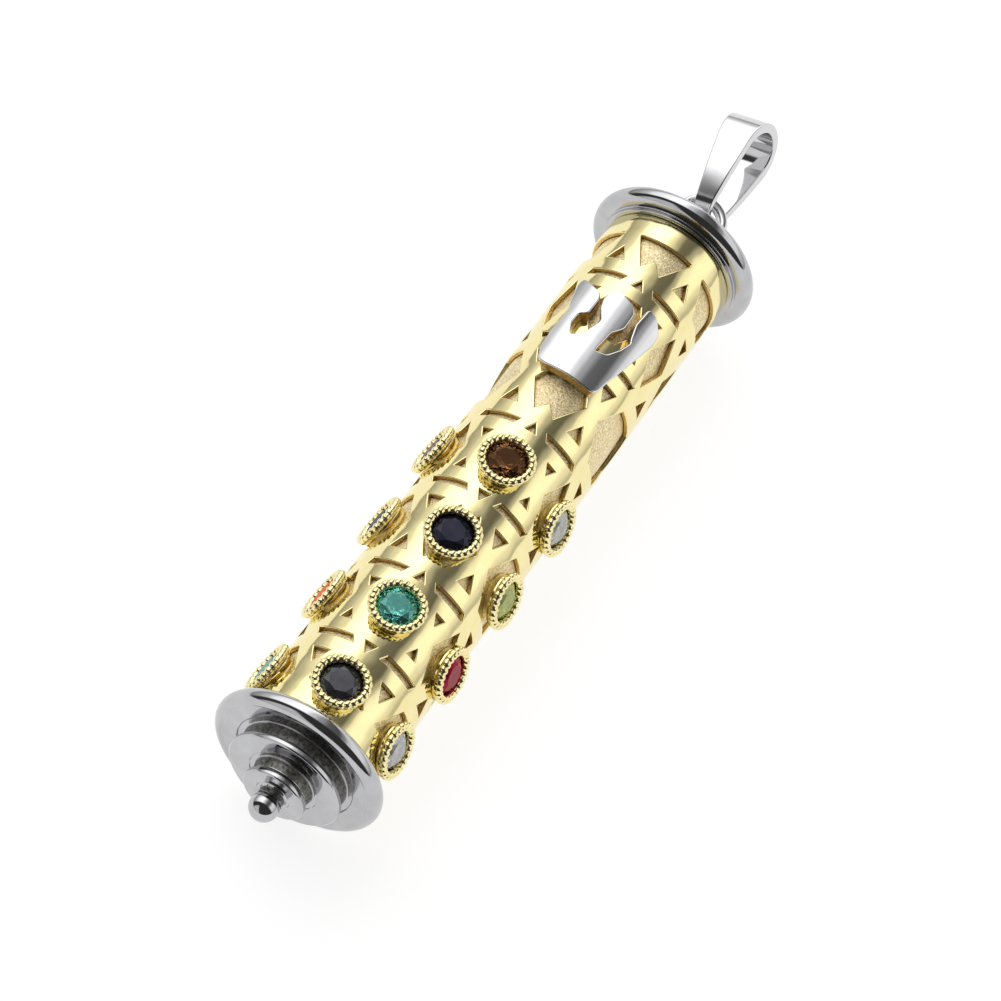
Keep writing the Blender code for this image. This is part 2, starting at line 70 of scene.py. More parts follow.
# The pierced pattern. A star is how far the sides of its middle hole and the bases of its points
# are from its centre.
COLUMN_STEP = math.radians(72.0)
LEVEL_START = 2.61
LEVEL_STEP = 5.89
LEVELS = 7
PATTERN_START = 2.45
PATTERN_END = 38.1
SPINE_HALF_ANGLE = math.radians(8.0)
SMALL_STAR = (1.6, 2.34)
LARGE_STAR = (2.1, 2.98)
PATTERN_WIDTH = 0.954
HOLE_ROUNDING = 0.07
ROUND_HOLE_SIDES = 40

# The stones and their bezels. Heights are from the tube's axis, before a column's drop. The rope's
# arc is in degrees and the beads' twist in radians.
ROWS = 4
STONE_COLUMNS = {"left": -COLUMN_STEP, "centre": 0.0, "right": COLUMN_STEP}
ROW_START = 2.90
ROW_STEP = 5.705
CENTRE_DROP = 0.2
SIDE_DROP = 0.35
RECESS_RADIUS = 1.62
LINER_HOLE = 0.85
GIRDLE_HEIGHT = 4.42
STONE_RADIUS = 1.25
CENTRE_STEM = 1.30
SIDE_STEM = 1.12
STEM_GAP = 0.03
FOOT = 3.0
FOOT_GAP = 0.01
ROPE_CENTRE = (1.40, 4.66)
ROPE_RADIUS = 0.247
ROPE_START = 205.0
ROPE_END = -70.0
BEADS = 24
BEAD_DEPTH = 0.085
BEAD_TWIST = 1.1

# The emblem.
EMBLEM_STATION = 30.1
EMBLEM_RADIUS = 4.6
EMBLEM_BACK = 4.04
EMBLEM_LIP = 0.10
EMBLEM_ROUNDING = 0.55
EMBLEM_LINES = 22
EMBLEM_LINE_STEP = 0.16
EMBLEM_REACH = 4.0

# The caps. The seat is the face that the tube's end meets. Grooves lie between two heights.
RIM_CENTRE = 4.6
RIM_RADIUS = 0.55
RIM_ANGLE = 84.0
RIM_EDGE = 0.545
SEAT_RADIUS = 4.25
SEAT_GAP = 0.03
SEAT_RISE = 0.52
SPIGOT_RADIUS = 2.93
SPIGOT_END = 3.6
PLUG_START = 38.1
BOSS_HEIGHT = 2.21
BOSS_RADIUS = 1.7
BALL_HEIGHT = -3.43
BALL_RADIUS = 0.85
LOWER_GROOVES = (-3.0, -0.3)
UPPER_GROOVES = (0.4, 2.0)
GROOVE_SLOPE = 0.35
GROOVE_DEPTH = 0.2
CAP_SEGMENTS = 192
CAP_MARGIN = 0.025

# The eyelet and the bail. The section is half the wire's thickness in the ring's plane and across
# it. Head and foot are (outer, inner) radii, and the widths are at the foot and at the head.
PIVOT_STATION = 45.0
BOSS_STATION = FLANGE_SPACING + BOSS_HEIGHT
EYELET_RING = 1.30
EYELET_SECTION = (0.27, 0.33)
EYELET_FULLNESS = 0.7
EYELET_ROLL = math.radians(8.4)
EYELET_GAP = 0.02
BAIL_ROLL = math.radians(-21.2)
BAIL_LIFT = math.radians(12.2)
BAIL_REACH = 3.85
BAIL_HEAD = (2.08, 1.50)
BAIL_FOOT = (1.35, 0.92)
BAIL_WIDTHS = (0.94, 2.5)
BAIL_SPREAD = 0.95
BAIL_BOW = 0.07
BAIL_EDGE = 0.09

# The parchment.
SCROLL_START = 3.9
SCROLL_END = 37.7
SCROLL_RADII = (0.83, 2.12)
SCROLL_TURNS = 5.0
SHEET_HALF = 0.07


def world_point(station, radius, angle):
    """A world point, in metres, from a station, a distance from the tube's axis and an angle."""
    return Vector(((BASE_X + station) * MM, -radius * math.sin(angle) * MM,
                   (AXIS_Z + radius * math.cos(angle)) * MM))


def add_mesh(name, points, faces, material, normals=None, crease=None):
    """A new mesh object in the scene, shaded smooth."""
    mesh = bpy.data.meshes.new(name)
    mesh.from_pydata([tuple(point) for point in points], [], faces)
    mesh.validate()
    mesh.materials.append(material)
    mesh.shade_smooth()
    if crease is not None:
        mesh.set_sharp_from_angle(angle=math.radians(crease))
    if normals is not None:
        mesh.normals_split_custom_set_from_vertices([tuple(normal) for normal in normals])
    piece = bpy.data.objects.new(name, mesh)
    bpy.context.scene.collection.objects.link(piece)
    return piece


def settle(piece, body, node):
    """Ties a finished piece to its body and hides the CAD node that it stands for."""
    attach(piece, body)
    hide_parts(node)


def arc(centre, radius, start, end, steps):
    """Points of an arc, with angles in degrees from the first axis."""
    points = []
    for step in range(steps + 1):
        angle = math.radians(start + (end - start) * step / steps)
        points.append((centre[0] + radius * math.cos(angle), centre[1] + radius * math.sin(angle)))
    return points


def rounded(outline, radius, steps=3, closed=True):
    """An outline with its corners rounded. Short sides get smaller roundings."""
    least_turn = math.radians(12.0)
    side_share = 0.42
    points = [Vector(point) for point in outline]
    result = []
    count = len(points)
    for k, point in enumerate(points):
        if not closed and k in (0, count - 1):
            result.append(tuple(point))
            continue
        back = points[k - 1] - point
        ahead = points[(k + 1) % count] - point
        turn = math.pi - back.angle(ahead)
        if turn < least_turn:
            result.append(tuple(point))
            continue
        reach = min(radius * math.tan(turn / 2.0), side_share * back.length,
                    side_share * ahead.length)
        start = point + back.normalized() * reach
        end = point + ahead.normalized() * reach
        for step in range(steps + 1):
            t = step / steps
            curve = (1.0 - t) ** 2 * start + 2.0 * t * (1.0 - t) * point + t ** 2 * end
            result.append((curve.x, curve.y))
    return result


def supported(profile, margin=0.03, closed=False):
    """A profile with an extra point near both ends of each long side, which keeps flats flat."""
    result = []
    count = len(profile)
    for k in range(count if closed else count - 1):
        start = Vector(profile[k])
        end = Vector(profile[(k + 1) % count])
        side = end - start
        result.append(tuple(start))
        if side.length > 6.0 * margin:
            result.append(tuple(start + side.normalized() * margin))
            result.append(tuple(end - side.normalized() * margin))
    if not closed:
        result.append(tuple(profile[-1]))
    return result


def is_groove(start, end):
    """Whether a side of a profile is a groove's wall: nearly parallel to the axis, not short."""
    out = abs(end[0] - start[0])
    up = abs(end[1] - start[1])
    return out < GROOVE_SLOPE * up and up > GROOVE_DEPTH


def darken_grooves(piece, profile, heights, material):
    """Gives a cap's groove walls between two heights a second material."""
    low, high = heights
    piece.data.materials.append(material)
    sides = [k for k, (start, end) in enumerate(zip(profile, profile[1:]))
             if is_groove(start, end) and low < (start[1] + end[1]) / 2.0 < high]
    for side in sides:
        for k in range(CAP_SEGMENTS):
            piece.data.polygons[side * CAP_SEGMENTS + k].material_index = 1


def turned(name, profile, segments, material, place, closed=False, ripple=None):
    """A turned piece: (radius, height) points, laid by place(radius, height, turn) in metres.

    Ripple, where given, moves each point of a ring: (index, radius, height, turn) to a new pair.
    """
    points = []
    rows = []
    for index, (radius, height) in enumerate(profile):
        if radius < 1.0e-6:
            rows.append([len(points)])
            points.append(place(0.0, height, 0.0))
            continue
        row = []
        for k in range(segments):
            turn = 2.0 * math.pi * k / segments
            out, up = (radius, height) if ripple is None else ripple(index, radius, height, turn)
            row.append(len(points))
            points.append(place(out, up, turn))
        rows.append(row)
    faces = []
    pairs = list(zip(rows, rows[1:]))
    if closed:
        pairs.append((rows[-1], rows[0]))
    for upper, lower in pairs:
        for k in range(segments):
            after = (k + 1) % segments
            if len(upper) == 1:
                faces.append((upper[0], lower[k], lower[after]))
            elif len(lower) == 1:
                faces.append((upper[k], lower[0], upper[after]))
            else:
                faces.append((upper[k], lower[k], lower[after], upper[after]))
    return add_mesh(name, points, faces, material, crease=50.0)


def on_tube(station):
    """Placing of a turned piece whose axis is the tube's, from a station."""
    return lambda radius, height, turn: world_point(station + height, radius, turn)


# Materials.

def node_material(name):
    """A new material with its node tree and Principled shader."""
    material = bpy.data.materials.new(name)
    material.use_nodes = True
    return material, material.node_tree, material.node_tree.nodes["Principled BSDF"]


def noise(tree, scale, detail=3.0, roughness=0.5):
    """A noise texture in object coordinates, with features about 1/scale metres across."""
    place = tree.nodes.new("ShaderNodeTexCoord")
    texture = tree.nodes.new("ShaderNodeTexNoise")
    texture.inputs["Scale"].default_value = scale
    texture.inputs["Detail"].default_value = detail
    texture.inputs["Roughness"].default_value = roughness
    tree.links.new(place.outputs["Object"], texture.inputs["Vector"])
    return texture


def ramp(tree, source, low, high, first, last):
    """A colour ramp from one value to another, driven by a texture."""
    node = tree.nodes.new("ShaderNodeValToRGB")
    node.color_ramp.elements[0].position = low
    node.color_ramp.elements[1].position = high
    node.color_ramp.elements[0].color = (*first, 1.0)
    node.color_ramp.elements[1].color = (*last, 1.0)
    tree.links.new(source, node.inputs["Fac"])
    return node


def bump(tree, shader, source, strength, distance):
    """Surface relief from a texture, distance in metres."""
    node = tree.nodes.new("ShaderNodeBump")
    node.inputs["Strength"].default_value = strength
    node.inputs["Distance"].default_value = distance
    tree.links.new(source, node.inputs["Height"])
    tree.links.new(node.outputs["Normal"], shader.inputs["Normal"])


def polished_metal(name, colour, shade, low, high, wave):
    """Polished metal with faint changes of gloss and a very slight hand-worked wave."""
    material, tree, shader = node_material(name)
    shader.inputs["Metallic"].default_value = 1.0
    tone = noise(tree, 900.0)
    colours = ramp(tree, tone.outputs["Fac"], 0.3, 0.7, shade, colour)
    tree.links.new(colours.outputs["Color"], shader.inputs["Base Color"])
    haze = noise(tree, 2500.0, 4.0)
    gloss = ramp(tree, haze.outputs["Fac"], 0.35, 0.75, (low,) * 3, (high,) * 3)
    tree.links.new(gloss.outputs["Color"], shader.inputs["Roughness"])
    relief = noise(tree, 330.0, 1.5)
    bump(tree, shader, relief.outputs["Fac"], 1.0, wave)
    return material


def grained_metal(name, colour, shade, roughness, scale, depth):
    """Matt metal with a fine cast grain."""
    material, tree, shader = node_material(name)
    shader.inputs["Metallic"].default_value = 1.0
    shader.inputs["Roughness"].default_value = roughness
    grain = noise(tree, scale, 3.0, 0.6)
    colours = ramp(tree, grain.outputs["Fac"], 0.35, 0.65, shade, colour)
    tree.links.new(colours.outputs["Color"], shader.inputs["Base Color"])
    bump(tree, shader, grain.outputs["Fac"], 1.0, depth)
    return material


def gem_material(name, colour, clarity, lustre):
    """A polished gemstone.

    Clarity is the share of light let through, lustre the share thrown back in its own colour.
    """
    material, tree, shader = node_material(name)
    shader.inputs["Roughness"].default_value = 0.0
    shader.inputs["IOR"].default_value = 1.77
    shader.inputs["Transmission Weight"].default_value = clarity
    shader.inputs["Metallic"].default_value = lustre
    shader.inputs["Specular Tint"].default_value = (*colour, 1.0)
    cloud = noise(tree, 1400.0, 2.0)
    deep = tuple(0.72 * channel for channel in colour)
    colours = ramp(tree, cloud.outputs["Fac"], 0.3, 0.7, deep, colour)
    tree.links.new(colours.outputs["Color"], shader.inputs["Base Color"])
    return material


def parchment_material():
    """Pale skin with soft mottling and fibres."""
    material, tree, shader = node_material("parchment")
    shader.inputs["Roughness"].default_value = 0.75
    mottling = noise(tree, 500.0, 6.0)
    colours = ramp(tree, mottling.outputs["Fac"], 0.3, 0.7, (0.56, 0.43, 0.26), (0.80, 0.70, 0.50))
    tree.links.new(colours.outputs["Color"], shader.inputs["Base Color"])
    fibres = noise(tree, 4000.0, 5.0)
    bump(tree, shader, fibres.outputs["Fac"], 0.6, 0.00003)
    return material


# The pierced pattern on the unrolled tube: u runs round it at the sleeve's radius, s is the
# station.

def moved(outline, u, s):
    """An outline about its own centre, moved to a place on the unrolled tube."""
    return [(u + PATTERN_WIDTH * du, s + ds) for du, ds in outline]


def star_hexagon(star):
    """The six-sided hole in the middle of a star."""
    reach = star[0] / math.cos(math.radians(30.0))
    return [(reach * math.cos(math.radians(60.0 * k)), reach * math.sin(math.radians(60.0 * k)))
            for k in range(6)]


def star_points(star):
    """The six three-sided holes in the points of a star."""
    inner, outer = star
    half_base = (2.0 * inner - outer) * math.tan(math.radians(30.0))
    holes = []
    for k in range(6):
        heading = math.radians(90.0 + 60.0 * k)
        along = Vector((math.cos(heading), math.sin(heading)))
        across = Vector((-along.y, along.x))
        base = outer * along
        corners = [2.0 * inner * along, base + half_base * across, base - half_base * across]
        holes.append([(corner.x, corner.y) for corner in corners])
    return holes


def slot_hole(side, end):
    """A slanted slot above (end 1) or below (end -1) a small star, on one side of it."""
    near, far = 2.37, 2.95
    return [(side * 1.12, end * near), (side * 3.74, end * near),
            (side * 3.40, end * far), (side * 0.78, end * far)]


def fish_gap():
    """The gap between two small stars of one column."""
    return [(1.885, 0.0), (0.65, 2.1), (0.0, 1.35), (-0.65, 2.1),
            (-1.885, 0.0), (-0.65, -2.1), (0.0, -1.35), (0.65, -2.1)]


def rhombus(side):
    """One of the two four-cornered gaps between two large stars of one column."""
    middle = side * 1.3
    half_width, half_length = 1.06, 2.15
    return [(middle + half_width, 0.0), (middle, half_length),
            (middle - half_width, 0.0), (middle, -half_length)]


def bezel_rows():
    """Stations of the four rows of stones."""
    return [ROW_START + ROW_STEP * row for row in range(ROWS)]


def cut_square(outline, low, high):
    """The part of an outline between two stations."""
    for limit, sign in ((low, 1.0), (high, -1.0)):
        kept = []
        for (u0, s0), (u1, s1) in zip(outline, outline[1:] + outline[:1]):
            inside0 = sign * (s0 - limit) >= 0.0
            inside1 = sign * (s1 - limit) >= 0.0
            if inside0:
                kept.append((u0, s0))
            if inside0 != inside1:
                t = (limit - s0) / (s1 - s0)
                kept.append((u0 + t * (u1 - u0), limit))
        outline = kept
        if not outline:
            break
    return outline


def pattern_holes():
    """Outlines of all the holes of the pattern on the unrolled tube."""
    holes = []
    for column in range(-2, 3):
        u = column * COLUMN_STEP * SLEEVE_RADIUS
        for level in range(LEVELS):
            s = LEVEL_START + level * LEVEL_STEP
            star_column = column % 2 == 0
            star_level = level % 2 == 1
            has_stone = abs(column) < 2 and level < ROWS
            if star_column and star_level:
                outlines = star_points(SMALL_STAR)
                outlines += [slot_hole(side, end) for side in (-1, 1) for end in (-1, 1)]
                outlines += [] if has_stone else [star_hexagon(SMALL_STAR)]
            elif star_column:
                outlines = [fish_gap()]
            elif star_level:
                outlines = [rhombus(-1), rhombus(1)]
            else:
                outlines = star_points(LARGE_STAR) + [star_hexagon(LARGE_STAR)]
            holes += [moved(outline, u, s) for outline in outlines]
    limit = (math.pi - SPINE_HALF_ANGLE) * SLEEVE_RADIUS
    holes = [hole for hole in holes if max(abs(u) for u, s in hole) < limit]
    holes = [cut_square(hole, PATTERN_START, PATTERN_END) for hole in holes]
    return [hole for hole in holes if len(hole) > 2]


def column_drop(angle):
    """How far a column's settings are let in: the side ones stand in recesses."""
    return SIDE_DROP if angle else CENTRE_DROP


def round_hole(angle, station, radius, roll_radius, bore):
    """Outline, unrolled at one radius, of a round hole that is clear down to the bore."""
    outline = []
    for k in range(ROUND_HOLE_SIDES):
        turn = 2.0 * math.pi * (k + 0.5) / ROUND_HOLE_SIDES
        du = roll_radius * math.asin(radius * math.cos(turn) / bore)
        outline.append((angle * roll_radius + du, station + radius * math.sin(turn)))
    return outline


def bezel_holes():
    """Outlines of the sleeve's holes for the bezels: round the stems, or wide as a recess."""
    holes = []
    for angle in STONE_COLUMNS.values():
        radius = RECESS_RADIUS if angle else CENTRE_STEM + STEM_GAP
        holes += [round_hole(angle, s, radius, SLEEVE_RADIUS, SLEEVE_BORE) for s in bezel_rows()]
    return holes


class Region:
    """A closed outline with a quick test of what lies inside it."""

    def __init__(self, outline):
        self.outline = outline
        self.sides = list(zip(outline, outline[1:] + outline[:1]))
        self.low = (min(u for u, s in outline), min(s for u, s in outline))
        self.high = (max(u for u, s in outline), max(s for u, s in outline))

    def holds(self, u, s):
        """Whether a point lies inside."""
        if not (self.low[0] < u < self.high[0] and self.low[1] < s < self.high[1]):
            return False
        hit = False
        for (u0, s0), (u1, s1) in self.sides:
            if (s0 > s) != (s1 > s) and u < u0 + (u1 - u0) * (s - s0) / (s1 - s0):
                hit = not hit
        return hit


def triangulated(loops, lines):
    """Flat triangles that follow closed outlines and single lines."""
    points = []
    edges = []
    for loop in loops:
        first = len(points)
        points += [Vector(point) for point in loop]
        edges += [(first + k, first + (k + 1) % len(loop)) for k in range(len(loop))]
    for start, end in lines:
        edges.append((len(points), len(points) + 1))
        points += [Vector(start), Vector(end)]
    flat, _, faces, _, _, _ = delaunay_2d_cdt(points, edges, [], 0, 1.0e-5)
    return flat, faces


def rolled_plate(name, flat, faces, is_metal, inner, outer, lip, material, wall_material=None):
    """A plate cut on the unrolled tube, rolled up, with rounded upper edges of radius lip.

    Normals are set from the true cylinder, so that polished metal reflects cleanly.
    """
    least_mitre = 0.6
    kept = []
    for face in faces:
        u = sum(flat[k].x for k in face) / 3.0
        s = sum(flat[k].y for k in face) / 3.0
        if is_metal(u, s):
            kept.append(face)
    seam = math.pi * outer
    welded = {}
    for face in kept:
        for k in face:
            u, s = flat[k]
            at_seam = abs(abs(u) - seam) < 1.0e-4
            welded[k] = ("seam", round(s, 4)) if at_seam else k
    place = {welded[k]: Vector((flat[k].x, flat[k].y)) for k in welded}
    kept = [[welded[k] for k in face] for face in kept]
    directed = {(a, b) for face in kept for a, b in zip(face, face[1:] + face[:1])}
    border = [(a, b) for a, b in directed if (b, a) not in directed]

    def side_normal(a, b):
        du = place[b].x - place[a].x
        if abs(du) > seam:
            du -= math.copysign(2.0 * seam, du)
        along = Vector((du, place[b].y - place[a].y)).normalized()
        return Vector((along.y, -along.x))

    leaning = {}
    for a, b in border:
        normal = side_normal(a, b)
        leaning.setdefault(a, []).append(normal)
        leaning.setdefault(b, []).append(normal)
    mitre = {}
    for key, sides in leaning.items():
        total = sum(sides, Vector((0.0, 0.0)))
        total = total.normalized() if total.length > 1.0e-6 else sides[0]
        mitre[key] = (total, 1.0 / max(least_mitre, total.dot(sides[0])))

    points = []
    normals = []
    made = {}

    def corner(key, ring):
        """Ring 0 is the outer skin, 1 to 3 go round the lip, 4 is the foot of the wall."""
        if (key, ring) in made:
            return made[key, ring]
        spot = place[key]
        lean, reach = mitre.get(key, (Vector((0.0, 0.0)), 0.0))
        tip = math.radians(30.0 * min(ring, 3))
        spot = spot + lean * (reach * lip * math.sin(tip))
        radius = outer - lip * (1.0 - math.cos(tip)) if ring < 4 else inner
        angle = spot.x / outer
        radial = Vector((0.0, -math.sin(angle), math.cos(angle)))
        round_tube = Vector((0.0, -math.cos(angle), -math.sin(angle)))
        in_plane = Vector((lean.y, 0.0, 0.0)) + round_tube * lean.x
        rise = math.cos(tip) if key in mitre else 1.0
        if ring == 4 and key not in mitre:
            rise = -1.0
        made[key, ring] = len(points)
        points.append(world_point(spot.y, radius, angle))
        normals.append((radial * rise + in_plane * math.sin(tip)).normalized())
        return made[key, ring]

    solid = []
    walls = []
    for face in kept:
        solid.append([corner(key, 0) for key in face])
        solid.append([corner(key, 4) for key in reversed(face)])
    for a, b in border:
        for ring in range(4):
            if ring == 3:
                walls.append(len(solid))
            solid.append([corner(a, ring + 1), corner(b, ring + 1),
                          corner(b, ring), corner(a, ring)])
    piece = add_mesh(name, points, solid, material, normals=normals)
    if wall_material is not None:
        piece.data.materials.append(wall_material)
        for index in walls:
            piece.data.polygons[index].material_index = 1
    return piece


def length_lines(first, last, step, low, high):
    """Lines along the tube, every step round it, which keep the rolled skin round."""
    return [((k * step, low), (k * step, high)) for k in range(first, last + 1)]


def rolled_tube(name, bore, radius, lip, ends, holes, count, material, wall_material=None):
    """A tube rolled from a plate with holes in it, with count lines along it."""
    start, end = ends
    regions = [Region(outline) for outline in holes]
    half_turn = math.pi * radius
    border = [(-half_turn, start), (half_turn, start), (half_turn, end), (-half_turn, end)]
    lines = length_lines(-count // 2 + 1, count // 2 - 1, 2.0 * half_turn / count, start, end)
    flat, faces = triangulated([border] + holes, lines)

    def is_metal(u, s):
        return start < s < end and not any(region.holds(u, s) for region in regions)

    return rolled_plate(name, flat, faces, is_metal, bore, radius, lip, material, wall_material)


def make_sleeve(material, wall_material):
    """The pierced sleeve. Its lips end where the tube does."""
    holes = [rounded(hole, HOLE_ROUNDING) for hole in pattern_holes()] + bezel_holes()
    ends = (TUBE_START + SLEEVE_LIP, TUBE_END - SLEEVE_LIP)
    count = TUBE_LINES
    piece = rolled_tube("sleeve_pierced", SLEEVE_BORE, SLEEVE_RADIUS, SLEEVE_LIP, ends, holes,
                        count, material, wall_material)
    settle(piece, "case", "lattice_sleeve")


def make_liner(material):
    """The matt tube seen through the sleeve, drilled under each stone."""
    holes = [round_hole(angle, s, LINER_HOLE, LINER_RADIUS, LINER_RADIUS)
             for angle in STONE_COLUMNS.values() for s in bezel_rows()]
    ends = (TUBE_START, TUBE_END)
    piece = rolled_tube("liner_grained", LINER_BORE, LINER_RADIUS, LINER_LIP, ends, holes,
                        TUBE_LINES, material)
    settle(piece, "case", "liner_tube")


def radial_place(station, angle):
    """Placing of a piece that stands out of the tube: height is from the axis, before any drop."""
    out = Vector((0.0, -math.sin(angle), math.cos(angle)))
    across = Vector((0.0, -math.cos(angle), -math.sin(angle)))
    along = Vector((1.0, 0.0, 0.0))
    axis = world_point(station, -column_drop(angle), angle)

    def place(radius, height, turn):
        step = across * math.cos(turn) + along * math.sin(turn)
        return axis + (out * height + step * radius) * MM

    return place


def bezel_shape(angle):
    """Section of a bezel, and how many of its points are the rope edge."""
    rope = arc(ROPE_CENTRE, ROPE_RADIUS, ROPE_START, ROPE_END, 16)
    bowl = [(1.46, 4.22), (1.36, 3.98), (SIDE_STEM, 3.78)] if angle else [(CENTRE_STEM, 4.16)]
    body = rounded([(1.50, 4.42), (1.50, 4.32)] + bowl, 0.12, 4, closed=False)
    inside = [(bowl[-1][0], FOOT), (0.86, FOOT), (0.86, 4.02), (1.28, 4.35), (1.28, 4.47),
              (1.2, 4.54)]
    return rope + body + inside, len(rope)


def make_bezels(material):
    """Twelve bezels, each with a rope edge of small beads."""
    segments = BEADS * 8

    def ripple(index, radius, height, turn):
        if index >= rope_points:
            if height == FOOT:
                side = radius * math.cos(turn)
                height = math.sqrt((LINER_RADIUS + FOOT_GAP) ** 2 - side ** 2) + foot_drop
            return radius, height
        share = index / (rope_points - 1)
        fade = math.sin(math.pi * share) ** 0.35
        swell = abs(math.cos(BEADS * turn / 2.0 + BEAD_TWIST * (share - 0.5))) ** 0.7
        push = BEAD_DEPTH * fade * (swell - 0.75)
        lean = math.radians(ROPE_START + (ROPE_END - ROPE_START) * share)
        return radius + push * math.cos(lean), height + push * math.sin(lean)

    for column, angle in STONE_COLUMNS.items():
        foot_drop = column_drop(angle)
        profile, rope_points = bezel_shape(angle)
        for row, station in enumerate(bezel_rows()):
            name = f"{column}_{row + 1}"
            place = radial_place(station, angle)
            piece = turned("setting_" + name, profile, segments, material, place,
                           closed=True, ripple=ripple)
            settle(piece, "case", "bezel_" + name)


def make_brilliant(name, material, place):
    """A round brilliant cut: table, stars, mains, halves, girdle and pavilion."""
    crown_slope = math.tan(math.radians(34.5))
    pavilion_slope = math.tan(math.radians(39.8))
    table = 0.56 * STONE_RADIUS
    girdle = 0.03
    crown_top = girdle + (STONE_RADIUS - table) * crown_slope
    eighth = math.radians(45.0)
    half = eighth / 2.0
    star = 0.80 * STONE_RADIUS
    star_height = crown_top - (star * math.cos(half) - table) * crown_slope
    lower = 0.30 * STONE_RADIUS
    depth = girdle + STONE_RADIUS * pavilion_slope
    lower_height = -depth + lower * math.cos(half) * pavilion_slope
    points = []

    def spot(radius, height, turn):
        points.append(place(radius, GIRDLE_HEIGHT + height, turn))
        return len(points) - 1

    table_ring = [spot(table, crown_top, k * eighth) for k in range(8)]
    star_ring = [spot(star, star_height, k * eighth + half) for k in range(8)]
    upper = [spot(STONE_RADIUS, girdle, k * half) for k in range(16)]
    under = [spot(STONE_RADIUS, -girdle, k * half) for k in range(16)]
    low_ring = [spot(lower, lower_height, k * eighth + half) for k in range(8)]
    culet = spot(0.0, -depth, 0.0)
    faces = [list(reversed(table_ring))]
    for k in range(8):
        after = (k + 1) % 8
        main = 2 * k
        middle = 2 * k + 1
        following = (2 * k + 2) % 16
        faces.append([table_ring[k], table_ring[after], star_ring[k]])
        faces.append([table_ring[k], star_ring[k], upper[main], star_ring[k - 1]])
        faces.append([star_ring[k], upper[middle], upper[main]])
        faces.append([star_ring[k], upper[following], upper[middle]])
        faces.append([upper[main], upper[middle], under[middle], under[main]])
        faces.append([upper[middle], upper[following], under[following], under[middle]])
        faces.append([under[main], under[middle], low_ring[k]])
        faces.append([under[middle], under[following], low_ring[k]])
        faces.append([under[main], low_ring[k], culet, low_ring[k - 1]])
    piece = add_mesh(name, points, [list(reversed(face)) for face in faces], material)
    piece.data.shade_flat()
    return piece


# The stones as (colour, clarity, lustre).
STONES = {
    "left_1": ((0.14, 0.46, 0.48), 0.9, 0.6), "left_2": ((0.85, 0.16, 0.003), 0.8, 0.85),
    "left_3": ((0.04, 0.03, 0.12), 0.6, 0.8), "left_4": ((0.22, 0.10, 0.11), 0.9, 0.75),
    "centre_1": ((0.10, 0.10, 0.11), 0.0, 0.75), "centre_2": ((0.30, 0.90, 0.80), 0.97, 0.2),
    "centre_3": ((0.04, 0.04, 0.06), 0.0, 0.75), "centre_4": ((0.36, 0.17, 0.07), 1.0, 0.1),
    "right_1": ((0.98, 0.98, 0.99), 1.0, 0.3), "right_2": ((0.66, 0.003, 0.08), 0.88, 0.25),
    "right_3": ((0.84, 0.90, 0.36), 0.93, 0.3), "right_4": ((0.95, 0.96, 0.90), 1.0, 0.3),
}


def make_stones():
    """Twelve stones, each with its own colour."""
    for column, angle in STONE_COLUMNS.items():
        for row, station in enumerate(bezel_rows()):
            key = f"{column}_{row + 1}"
            colour, clarity, lustre = STONES[key]
            material = gem_material("gem_" + key, colour, clarity, lustre)
            piece = make_brilliant("gem_" + key, material, radial_place(station, angle))
            settle(piece, "case", "stone_" + key)


def emblem_outline():
    """Outline of the three-pronged plate, round the tube and along it from its middle."""
    return [(-1.60, -3.2), (1.68, -3.3), (1.85, -2.2), (2.15, -0.9), (2.72, 1.7), (2.70, 2.5),
            (1.95, 3.25), (1.46, 3.3), (1.36, 2.0), (1.60, 1.1), (1.75, 0.8), (1.50, 0.0),
            (1.00, -0.9), (0.32, -1.1), (0.20, -0.9), (0.36, 0.6), (0.82, 1.3), (0.80, 2.4),
            (0.45, 2.85), (-0.80, 3.2), (-1.02, 2.3), (-0.85, 1.7), (-0.35, 0.9), (-0.80, -0.5),
            (-1.50, -0.95), (-1.92, 0.0), (-1.88, 0.8), (-1.40, 1.0), (-1.37, 2.1), (-1.55, 2.55),
            (-2.90, 3.2), (-3.02, 2.8), (-2.65, 1.3), (-2.45, 0.9), (-2.55, -1.0), (-2.45, -2.2),
            (-2.15, -3.05)]


def make_emblem(material, wall_material):
    """The raised three-pronged emblem, bent to the tube: a white face on yellow walls."""
    shape = rounded(emblem_outline(), EMBLEM_ROUNDING, 6)
    outline = [(u, EMBLEM_STATION + s) for u, s in shape]
    region = Region(outline)
    lines = length_lines(-EMBLEM_LINES, EMBLEM_LINES, EMBLEM_LINE_STEP,
                         EMBLEM_STATION - EMBLEM_REACH, EMBLEM_STATION + EMBLEM_REACH)
    flat, faces = triangulated([outline], lines)
    piece = rolled_plate("emblem_plate", flat, faces, region.holds, EMBLEM_BACK, EMBLEM_RADIUS,
                         EMBLEM_LIP, material, wall_material)
    settle(piece, "case", "three_prong_emblem")


def rim():
    """The rounded rim of a flange, from its upper face to its lower one."""
    return arc((RIM_CENTRE, 0.0), RIM_RADIUS, RIM_ANGLE, -RIM_ANGLE, 28)


